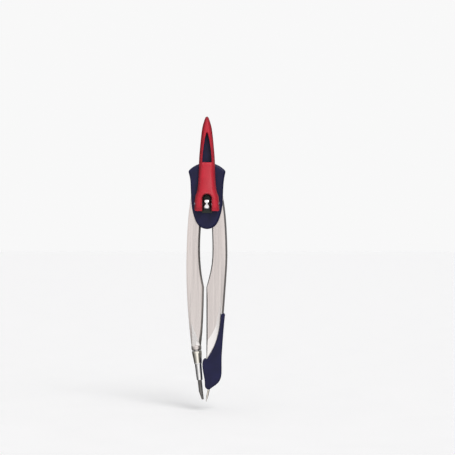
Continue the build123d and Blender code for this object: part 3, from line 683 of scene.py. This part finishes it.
def lever_edge(x, z, to_outer):
    """How far the front falls near the outer edge or the slot, whichever is more."""
    width = ramp(z, *BODY_TO_RAILS, *EDGE_WIDTHS) - ramp(z, *RAILS_TO_TIP, 0.0, TIP_WIDTH_LOSS)
    depth = ramp(z, *BODY_TO_RAILS, *EDGE_DEPTHS) - ramp(z, *RAILS_TO_TIP, 0.0, TIP_DEPTH_LOSS)
    depth = depth * ramp(z, LEVER_BOTTOM, FOOT_EDGE_Z, FOOT_EDGE_SHARE, 1.0)
    roundness = ramp(z, *BODY_TO_RAILS, *EDGE_ROUNDNESS)
    slot_gap = slot_distance(x, z)
    at_slot = (z < SLOT_REACH_Z) & (np.abs(x) < SLOT_REACH_X) & (slot_gap < to_outer + 0.01)
    outer = edge_drop(np.where(at_slot, np.inf, to_outer), width, depth, roundness)
    return np.maximum(outer, edge_drop(slot_gap, SLOT_WALL, SLOT_DROP, SLOT_ROUNDNESS))


def lever_front(x, z, to_outer, to_hole):
    surface = smooth_profile(LEVER_FRONT, z) - LEVER_CROWN * x**2
    brow = BROW_HEIGHT * np.exp(-(((z - BROW_Z + BROW_BEND * x**2) / BROW_WIDTH) ** 2))
    brow = brow * ramp(to_outer, *BROW_END, 0.0, 1.0)
    return surface - np.maximum(lever_edge(x, z, to_outer), edge_drop(to_hole, *WINDOW_EDGE)) + brow


def heel_surface(z):
    """The heel's round back; beyond the ends of its arc it stays level."""
    return HEEL_FORWARD - np.sqrt(HEEL_RADIUS**2 - (np.clip(z, HEEL_LOW_Z, HEEL_TOP_Z) - HEEL_Z) ** 2)


def lever_back(x, z, to_outer, to_hole):
    foot = np.interp(z, [LEVER_BOTTOM, HEEL_LOW_Z], [FOOT_BACK, heel_surface(HEEL_LOW_Z)])
    above = np.where(z < HEEL_TOP_Z, heel_surface(z), smooth_profile(LEVER_BACK, z))
    surface = np.where(z < HEEL_LOW_Z, foot, above)
    return surface + edge_drop(np.minimum(to_outer, to_hole), *BACK_EDGE)


def lever_outline():
    """The lever's outline with the slot, which is open at the bottom."""
    flat_half = FOOT_HALF - FOOT_CORNER
    side = smooth_line(LEVER_SIDE, OUTLINE_STEP)
    corner = arc((flat_half, LEVER_BOTTOM + FOOT_CORNER), FOOT_CORNER, 0, -90, 0.12)
    foot = [(flat_half, LEVER_BOTTOM), (SLOT_HALF, LEVER_BOTTOM), (SLOT_HALF, SLOT_MIDDLE)]
    roof = arc((0, SLOT_MIDDLE), SLOT_HALF, 0, 90, 0.15)
    right = side + corner + straight(foot, OUTLINE_STEP) + roof
    return closed(right, mirror(right))


def window_outline():
    sill = straight([(0, WINDOW_SILL), (WINDOW_HALF, WINDOW_SILL)], OUTLINE_STEP)
    right = smooth_line(WINDOW_SIDE, OUTLINE_STEP) + arc((0, WINDOW_TIP_Z), WINDOW_TIP_RADIUS, 0, 90, 0.1)
    return closed(sill, right, mirror(right))


def add_painted_shade(piece):
    """Marks the painted shade: on the slot's walls round the bolt's eye, and faintly along the outer edges.
    """
    places = np.array([tuple(v.co / MM) for v in piece.data.vertices])
    x, z = places[:, 0], places[:, 2]
    near_slot = (z < SLOT_TOP + SLOT_WALL) & (np.abs(x) < SLOT_HALF + SLOT_WALL)
    wall = 1 - np.clip(slot_distance(x, z) / SLOT_WALL, 0, 1)
    at_slot = ramp(wall, 0.0, SLOT_SHADE_FULL, 0.0, 1.0) * near_slot
    at_edge = ramp(to_loop(places[:, [0, 2]], lever_outline()), *EDGE_SHADE_WIDTH, EDGE_SHADE, 0.0)
    shade_paint = np.maximum(at_slot, at_edge * (z > EDGE_SHADE_BOTTOM))
    marks = piece.data.attributes.new(PAINTED_SHADE, "FLOAT", "POINT")
    marks.data.foreach_set("value", shade_paint.astype(np.float32))


def build_lever():
    loops = [lever_outline(), window_outline()]
    piece = plate("lever_body", loops, lever_front, lever_back, LEVER_SPACING, LEVER_RINGS, RED)
    # Painted shade in the slot and along the outer edges.
    add_painted_shade(piece)
    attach(piece, "lever")
    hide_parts("lock_lever")


# ---------------------------------------------------------------- tie bolt

EYE_BORE = 1.06
EYE_HALF = 1.6
EYE_RADIUS = 2.45
# The eye's cheeks: where the flat beside the bore ends, and where the shoulder does.
EYE_FLAT_RADIUS = 1.2
EYE_SHOULDER_RADIUS = 1.72
# The rounded rim: shares of its half width, and radii.
EYE_ROUNDING = [(1.0, 2.2), (0.88, 2.34), (0.66, 2.41), (0.35, 2.44)]
# Half widths of the rim by the angle above the front, in degrees: a ball over a flared foot.
EYE_RIM = [(-180, 1.2), (-110, 1.45), (-65, 1.45), (-42, 1.42), (-25, 1.15), (-12, 0.8)]
EYE_RIM += [(-3, 0.45), (5, 0.45), (13, 0.85), (24, 1.12), (38, 1.24), (52, 1.1), (64, 0.8)]
EYE_RIM += [(84, 0.5), (100, 0.9), (140, 1.2), (180, 1.2)]
EYE_STEPS = 96
# How much further the front half reaches at its diagonals than a circle, as a share.
EYE_SQUARENESS = 0.15

BOLT_RADIUS = 1.2
BOLT_TAIL = -3.9
BOLT_TAIL_RADIUS = 0.9
BOLT_TAIL_CHAMFER = 0.25
THREAD_START = BOLT_TAIL + 0.3
THREAD_PITCH = 0.4
THREAD_DEPTH = 0.16
THREAD_TURNS = 8
# The shank ends inside the eye.
BOLT_FRONT = 5.6


def eye_section(degrees, rim_half):
    """The eye's section at one angle above the front, as half widths and radii."""
    turn = math.radians(degrees)
    reach = 1 + EYE_SQUARENESS * math.sin(2 * turn) ** 2 * (abs(degrees) < 90)
    swell = (EYE_RADIUS * reach - EYE_BORE) / (EYE_RADIUS - EYE_BORE)
    side = [(EYE_HALF, EYE_BORE), (EYE_HALF, EYE_FLAT_RADIUS)]
    side += [((EYE_HALF + rim_half) / 2, EYE_SHOULDER_RADIUS)]
    side += [(rim_half * share, radius) for share, radius in EYE_ROUNDING]
    section = side + [(0, EYE_RADIUS)] + [(-x, r) for x, r in reversed(side)]
    return [(x, EYE_BORE + (r - EYE_BORE) * swell) for x, r in section]


def eye_ring():
    """Corners and faces of the eye, round the lever's pin."""
    corners = []
    angles = np.linspace(-180, 180, EYE_STEPS, endpoint=False)
    for degrees, rim_half in zip(angles, smooth_profile(EYE_RIM, angles)):
        turn = math.radians(degrees)
        section = eye_section(degrees, rim_half)
        corners += [(x, PIN_Y - r * math.cos(turn), PIN_Z + r * math.sin(turn)) for x, r in section]
    return corners, ring_faces(EYE_STEPS, len(corners) // EYE_STEPS)


def shank():
    """Corners and faces of the threaded shank."""
    profile = [(BOLT_TAIL_RADIUS, BOLT_TAIL), (BOLT_RADIUS, BOLT_TAIL + BOLT_TAIL_CHAMFER)]
    for k in range(THREAD_TURNS):
        crest = THREAD_START + k * THREAD_PITCH
        profile += [(BOLT_RADIUS, crest), (BOLT_RADIUS - THREAD_DEPTH, crest + THREAD_PITCH / 2)]
    profile += [(BOLT_RADIUS, THREAD_START + THREAD_TURNS * THREAD_PITCH), (BOLT_RADIUS, BOLT_FRONT)]
    return turned_body(profile, PIN_Z)


def build_tie_bolt():
    corners, faces = eye_ring()
    shank_corners, shank_faces = shank()
    faces += [[v + len(corners) for v in face] for face in shank_faces]
    piece = mesh_piece("tie_bolt_eye", corners + shank_corners, faces, CHROME, smooth_angle=50)
    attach(piece, "head")
    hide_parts("tie_bolt")


# ---------------------------------------------------------------- carried-over nodes


def dress_nodes():
    """Gives each CAD node its own material, or else that of the slot which the record names for it."""
    for part in frame["record"]["subparts"]:
        for holder in frame["nodes"][part["node"]].material_slots:
            holder.material = OWN_FINISHES.get(part["node"], FINISHES[part["material_slot"]])


# ---------------------------------------------------------------- stage and light

# Polished metal mirrors a studio that is bright from the object's left round to its front right, and
# darker at the right and behind.
BRIGHT_SIDE = (-0.438, -0.899)
BRIGHT_LIMITS = (0.17, 0.47)
SIDE_LEVEL = 0.2
FRONT_LEVEL = 1.12
REAR_LIMITS = (-0.6, -0.95)
REAR_LIFT = 0.35
FRONT = (0, -1)
RIGHT = (1, 0)

FLOOR_Z = -4.5
FLOOR_HALF = 6000.0
FLOOR_CORNERS = ((-1, -1), (1, -1), (1, 1), (-1, 1))
# A little light of the floor's own keeps it pale under the soft light.
FLOOR_LIFT = 0.125
FLOOR_TINT = (1.0, 0.98, 0.97, 1.0)
# The mirrored floor's glow close to the object, by how far to the right and to the front a point lies: it
# builds up from the left and ends sharply at the right. Each is a start, a stop and the levels there.
NEAR_FLOOR_LEFT = (-1.0, 0.0, 0.2, 1.25)
NEAR_FLOOR_RIGHT = (0.32, 0.5, 1.0, 0.12)
NEAR_FLOOR_FRONT = (-0.3, 0.2, SIDE_LEVEL, 1.0)
# In metres: the radii between which the near glow passes into the far one, and a small length that
# keeps the division by the radius finite.
NEAR_FLOOR_RADIUS = (0.15, 0.35)
FLOOR_MIDDLE = 0.01

WARM = (1.0, 0.955, 0.94, 1.0)
COOL = (0.96, 0.98, 1.0, 1.0)
WARM_LIMITS = (0.0, 0.6)
OVERHEAD_LIMITS = (0.4, 0.8)
OVERHEAD_LEVEL = 1.15
# A low dark band straight in front gives round chrome its dark waist.
BAND_HEIGHTS = (0.05, 0.14)
BAND_FRONT = (0.95, 0.985)
BAND_STRENGTH = 0.3
# Matt surfaces are lit by a broad soft light in front, a little to the right, and another overhead.
DIFFUSE_TOWARDS = (0.342, -0.94)
DIFFUSE_LIMITS = (0.45, 1.0)
DIFFUSE_SIDE = 0.06
DIFFUSE_FRONT = 1.2
DIFFUSE_OVERHEAD = 0.75
# The plain backdrop beyond the floor.
PALE = 0.94
SUN_PLACE = (0.35, -1.0, 0.8)
SUN_STRENGTH = 1.25
SUN_ANGLE = 25


def studio_level(tree, share):
    """How bright the studio is where this much of the way is towards the bright side."""
    front = tree.step(share, *BRIGHT_LIMITS, SIDE_LEVEL, FRONT_LEVEL)
    rear = tree.step(share, *REAR_LIMITS, 0.0, REAR_LIFT)
    return tree.math("ADD", front, rear)


def floor_glow(graph):
    """What polished metal mirrors of the floor: like the studio far away, with a glow of its own close by."""
    length = graph.node("ShaderNodeVectorMath", operation="LENGTH")
    graph.link(graph.place, length.inputs[0])
    radius = length.outputs["Value"]
    reach = graph.math("ADD", radius, FLOOR_MIDDLE)
    side, right, front = [
        graph.math("DIVIDE", graph.towards(graph.place, way), reach) for way in (BRIGHT_SIDE, RIGHT, FRONT)
    ]
    near = graph.math("MULTIPLY", graph.step(right, *NEAR_FLOOR_LEFT), graph.step(right, *NEAR_FLOOR_RIGHT))
    near = graph.math("MULTIPLY", near, graph.step(front, *NEAR_FLOOR_FRONT))
    glow = graph.node("ShaderNodeEmission")
    glow.inputs["Color"].default_value = FLOOR_TINT
    level = graph.blend(graph.step(radius, *NEAR_FLOOR_RADIUS), near, studio_level(graph, side))
    graph.link(level, glow.inputs["Strength"])
    return glow.outputs[0]


def build_stage():
    """A wide pale floor."""
    mesh = bpy.data.meshes.new("floor")
    corners = [(x * FLOOR_HALF * MM, y * FLOOR_HALF * MM, FLOOR_Z * MM) for x, y in FLOOR_CORNERS]
    mesh.from_pydata(corners, [], [(0, 1, 2, 3)])
    floor = bpy.data.objects.new("floor", mesh)
    bpy.context.scene.collection.objects.link(floor)
    graph = Graph("pale_floor", specular=0.1)
    speckle = graph.noise(30.0, detail=3)
    colour = graph.mix(graph.between(speckle, 0, 1), linear(244, 244, 244), linear(247, 247, 247))
    mesh.materials.append(graph.finish(colour, graph.between(speckle, 0.7, 0.8), graph.bump(speckle, 0.02)))
    path = graph.node("ShaderNodeLightPath")
    lift = graph.math("MULTIPLY", path.outputs["Is Camera Ray"], FLOOR_LIFT)
    graph.shader.inputs["Emission Color"].default_value = (1, 1, 1, 1)
    graph.link(lift, graph.shader.inputs["Emission Strength"])
    shader = graph.choose(path.outputs["Is Glossy Ray"], graph.shader.outputs[0], floor_glow(graph))
    graph.link(shader, graph.output.inputs["Surface"])


def build_sun():
    """One very soft lamp, high in front of the object and slightly to its right."""
    light = bpy.data.lights.new("sun", "SUN")
    light.energy = SUN_STRENGTH
    light.angle = math.radians(SUN_ANGLE)
    lamp = bpy.data.objects.new("sun", light)
    lamp.rotation_euler = (-Vector(SUN_PLACE)).to_track_quat("-Z", "Y").to_euler()
    bpy.context.scene.collection.objects.link(lamp)


def mirrored_level(tree, direction, overhead):
    """How bright polished metal mirrors the studio in this direction."""
    low = tree.step(tree.axis(direction, "Z"), *BAND_HEIGHTS, 1.0, 0.0)
    ahead = tree.step(tree.towards(direction, FRONT), *BAND_FRONT, 0.0, BAND_STRENGTH)
    band = tree.math("MULTIPLY", low, ahead)
    level = studio_level(tree, tree.towards(direction, BRIGHT_SIDE))
    level = tree.math("MULTIPLY", level, tree.math("SUBTRACT", 1.0, band))
    return tree.blend(overhead, level, OVERHEAD_LEVEL)


def diffuse_level(tree, direction, overhead):
    """How bright the light on matt surfaces is from this direction."""
    facing = tree.towards(direction, DIFFUSE_TOWARDS)
    soft = tree.step(facing, *DIFFUSE_LIMITS, DIFFUSE_SIDE, DIFFUSE_FRONT)
    return tree.math("ADD", soft, tree.math("MULTIPLY", overhead, DIFFUSE_OVERHEAD))


def build_world():
    world = bpy.data.worlds.new("studio")
    bpy.context.scene.world = world
    world.use_nodes = True
    tree = Tree(world.node_tree)
    direction = tree.node("ShaderNodeTexCoord").outputs["Generated"]
    path = tree.node("ShaderNodeLightPath")
    overhead = tree.step(tree.axis(direction, "Z"), *OVERHEAD_LIMITS)
    levels = mirrored_level(tree, direction, overhead), diffuse_level(tree, direction, overhead)
    surround = tree.node("ShaderNodeBackground")
    tree.link(tree.blend(path.outputs["Is Diffuse Ray"], *levels), surround.inputs["Strength"])
    warmth = tree.step(tree.towards(direction, BRIGHT_SIDE), *WARM_LIMITS)
    tree.link(tree.mix(warmth, COOL, WARM), surround.inputs["Color"])
    plain = tree.node("ShaderNodeBackground")
    plain.inputs["Color"].default_value = (PALE, PALE, PALE, 1)
    output = tree.node("ShaderNodeOutputWorld")
    shader = tree.choose(path.outputs["Is Camera Ray"], surround.outputs[0], plain.outputs[0])
    tree.link(shader, output.inputs["Surface"])


# ---------------------------------------------------------------- camera

# The view is this wide where it is this far in front of the legs' middle plane.
VIEW_WIDTH = 218.4
VIEW_DEPTH = 3.0
VIEW_X = 9.84
VIEW_Z = 84.05
LENS = 150.0
SENSOR = 36.0
CLIP_END = 20.0


def build_camera():
    camera = bpy.data.cameras.new("camera")
    camera.lens = LENS
    camera.sensor_width = SENSOR
    camera.clip_end = CLIP_END
    viewer = bpy.data.objects.new("camera", camera)
    distance = LENS / SENSOR * VIEW_WIDTH
    viewer.location = (VIEW_X * MM, (forward(VIEW_DEPTH) - distance) * MM, VIEW_Z * MM)
    viewer.rotation_euler = (math.radians(90), 0, 0)
    bpy.context.scene.collection.objects.link(viewer)
    bpy.context.scene.camera = viewer


dress_nodes()
build_lever()
build_tie_bolt()
build_stage()
build_world()
build_sun()
build_camera()
bpy.context.scene.view_settings.view_transform = "Standard"
